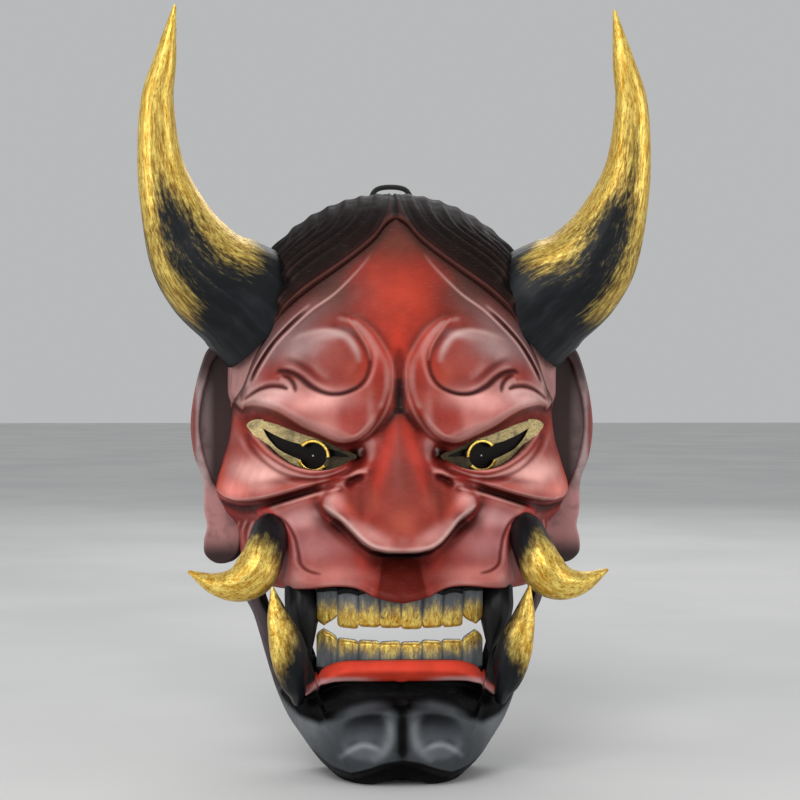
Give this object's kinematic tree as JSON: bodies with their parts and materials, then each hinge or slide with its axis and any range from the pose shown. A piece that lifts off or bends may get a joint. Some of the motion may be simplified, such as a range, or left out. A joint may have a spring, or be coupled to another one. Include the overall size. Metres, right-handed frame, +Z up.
{
  "type": "noh demon mask",
  "caption": "Carved and painted horned demon face mask with tusks, open mouth, pierced eyes, elastic head strap with a sliding keeper, and a hanging loop.",
  "frame": {"origin": "brow height on the middle plane, where the wearer's head is centred inside the mask", "axes": "+Z up, the face looks along -Y, +X is at the right of someone who faces the mask"},
  "size_m": [0.281, 0.2199, 0.4111],
  "materials": {
    "face_paint": "carved wood, hand painted orange red with airbrushed grey sides, satin varnish",
    "hair_paint": "carved wood, painted dark brown with dry-brushed strands",
    "jaw_paint": "carved wood, painted black and purple grey, satin varnish",
    "horn_paint": "carved wood, painted blue black with dry-brushed gold streaks and gold tips",
    "tusk_paint": "carved wood, black at the root and gold at the tip",
    "fang_paint": "carved wood, painted black with faint gold",
    "eye_paint": "carved wood, painted cream gold with grey edges",
    "gold_ring": "gilt metal, satin",
    "ear_paint": "carved wood, painted dark brown red with a grey face",
    "tooth_paint": "carved wood, gold teeth in black gums",
    "foam": "black closed-cell foam with a cloth face",
    "elastic": "black ribbed elastic webbing",
    "slider_plastic": "black moulded plastic",
    "steel": "zinc plated steel screws",
    "block_wood": "bare sanded wood",
    "cord": "black braided cord"
  },
  "bodies": {
    "mask": {"face_shell": "face_paint", "hair_cap": "hair_paint", "lower_jaw": "jaw_paint", "horn_right": "horn_paint", "horn_left": "horn_paint", "cheek_tusk_right": "tusk_paint", "cheek_tusk_left": "tusk_paint", "lower_tusk_right": "tusk_paint", "lower_tusk_left": "tusk_paint", "upper_fang_right": "fang_paint", "upper_fang_left": "fang_paint", "eye_plate_right": "eye_paint", "eye_plate_left": "eye_paint", "iris_ring_right": "gold_ring", "iris_ring_left": "gold_ring", "ear_right": "ear_paint", "ear_left": "ear_paint", "upper_teeth": "tooth_paint", "lower_teeth": "tooth_paint", "forehead_pad": "foam", "cheek_pad_right": "foam", "cheek_pad_left": "foam", "chin_pad": "foam", "head_strap": "elastic", "strap_screw_right": "steel", "strap_screw_left": "steel", "ear_screw_right": "steel", "ear_screw_left": "steel", "horn_screw_right": "steel", "horn_screw_left": "steel", "loop_block": "block_wood", "hanging_loop": "cord"},
    "slider": {"strap_slider": "slider_plastic"}
  },
  "joints": [
    {"name": "slider_travel", "type": "slide", "parent": "mask", "child": "slider", "axis": [1, 0, 0], "range_m": [-0.016, 0.016]}
  ]
}
